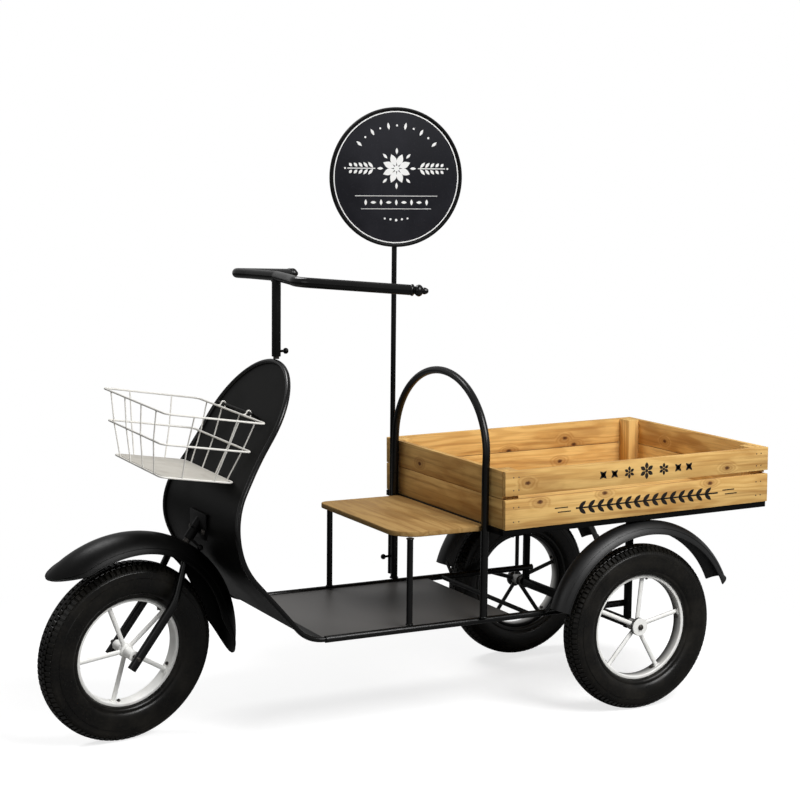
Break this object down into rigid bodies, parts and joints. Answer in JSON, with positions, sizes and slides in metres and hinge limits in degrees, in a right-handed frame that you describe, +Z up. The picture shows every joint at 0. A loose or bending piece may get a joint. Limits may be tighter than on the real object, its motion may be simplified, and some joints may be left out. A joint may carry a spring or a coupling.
{
  "type": "flower cart stand",
  "caption": "Three-wheeled display cart shaped like a small moped, with a wooden crate over the rear axle, a seat, a wire basket and a round sign on a pole.",
  "frame": {"origin": "on the floor, under the middle of the bounding box", "axes": "+X towards the rear of the cart, +Z up, so the left side of the cart is -Y"},
  "size_m": [1.775, 0.6982, 1.444],
  "materials": {
    "black_paint": "satin black paint",
    "slate_paint": "satin dark slate paint with a plain ring",
    "deck_paint": "dull black paint, greyed by wear",
    "cream_paint": "satin off-white paint",
    "basket_paint": "satin off-white paint",
    "tyre": "black rubber",
    "pine": "oiled pine with knots",
    "steel": "dark plated steel"
  },
  "bodies": {
    "chassis": {"leg_shield": "black_paint", "shield_edge_rod": "black_paint", "head_tube": "black_paint", "head_bolt_left": "steel", "head_bolt_right": "steel", "side_rail_left": "black_paint", "side_rail_right": "black_paint", "rear_upright_left": "black_paint", "rear_upright_right": "black_paint", "seat_leg_left": "black_paint", "seat_leg_right": "black_paint", "footboard": "deck_paint", "cross_rod": "black_paint", "axle_beam": "black_paint", "arch_hoop": "black_paint", "seat_board": "pine", "rear_fender_left": "black_paint", "rear_fender_right": "black_paint", "crate_frame": "black_paint", "pole_socket": "black_paint", "stem_peg": "steel", "basket_hanger": "black_paint", "rear_left_axle": "steel", "rear_right_axle": "steel"},
    "fork": {"fork_leg_left": "black_paint", "fork_leg_right": "black_paint", "fork_crown": "black_paint", "steerer": "steel", "steerer_nut": "steel", "front_axle": "steel", "front_fender": "black_paint"},
    "front_wheel": {"front_wheel_tyre": "tyre", "front_wheel_rim": "cream_paint", "front_wheel_hub_and_spokes": "cream_paint"},
    "rear_left_wheel": {"rear_left_wheel_tyre": "tyre", "rear_left_wheel_rim": "cream_paint", "rear_left_wheel_hub_and_spokes": "cream_paint"},
    "rear_right_wheel": {"rear_right_wheel_tyre": "tyre", "rear_right_wheel_rim": "cream_paint", "rear_right_wheel_hub_and_spokes": "cream_paint"},
    "handlebar_unit": {"handlebar": "black_paint", "handlebar_stem": "black_paint", "finial_left": "black_paint", "finial_right": "black_paint"},
    "sign": {"sign_pole": "black_paint", "sign_disc": "slate_paint"},
    "basket": {"basket_cage": "basket_paint", "basket_floor": "basket_paint"},
    "crate": {"crate_left_lower_plank": "pine", "crate_left_upper_plank": "pine", "crate_right_lower_plank": "pine", "crate_right_upper_plank": "pine", "crate_front_panel": "pine", "crate_rear_panel": "pine", "crate_floor": "pine"},
    "head_screw_body": {"head_screw": "black_paint"},
    "stem_screw_body": {"stem_screw": "black_paint"},
    "pole_screw_body": {"pole_screw": "black_paint"}
  },
  "joints": [
    {"name": "fork_steer", "type": "hinge", "parent": "chassis", "child": "fork", "pos_m": [-0.54843, 0, 0.428], "axis": [0.5878, 0, 0.809], "range_deg": [-36, 14]},
    {"name": "front_wheel_spin", "type": "hinge", "parent": "fork", "child": "front_wheel", "pos_m": [-0.67829, 0.00448, 0.21005], "axis": [-0.1544, 0.9816, 0.1122], "continuous": true},
    {"name": "rear_left_wheel_spin", "type": "hinge", "parent": "chassis", "child": "rear_left_wheel", "pos_m": [0.51657, -0.279, 0.2015], "axis": [0, 1, 0], "continuous": true},
    {"name": "rear_right_wheel_spin", "type": "hinge", "parent": "chassis", "child": "rear_right_wheel", "pos_m": [0.51657, 0.279, 0.2015], "axis": [0, 1, 0], "continuous": true},
    {"name": "handlebar_turn", "type": "hinge", "parent": "chassis", "child": "handlebar_unit", "pos_m": [-0.31143, 0, 0.95], "axis": [0, 0, 1], "continuous": true},
    {"name": "sign_turn", "type": "hinge", "parent": "chassis", "child": "sign", "pos_m": [0.11887, 0.2453, 0.35], "axis": [0, 0, 1], "continuous": true},
    {"name": "basket_lift", "type": "slide", "parent": "chassis", "child": "basket", "axis": [0.1537, -0.0319, 0.9876], "range_m": [0, 0.12]},
    {"name": "crate_lift", "type": "slide", "parent": "chassis", "child": "crate", "axis": [0.0499, 0, 0.9988], "range_m": [0, 0.2]},
    {"name": "head_screw_turn", "type": "hinge", "parent": "chassis", "child": "head_screw_body", "pos_m": [-0.5241, -0.00732, 0.45423], "axis": [0.3004, -0.8511, -0.4306], "continuous": true},
    {"name": "stem_screw_turn", "type": "hinge", "parent": "handlebar_unit", "child": "stem_screw_body", "pos_m": [-0.30403, 0, 0.874], "axis": [1, 0, 0], "continuous": true},
    {"name": "pole_screw_turn", "type": "hinge", "parent": "chassis", "child": "pole_screw_body", "pos_m": [0.11197, 0.2453, 0.307], "axis": [-1, 0, 0], "continuous": true}
  ]
}
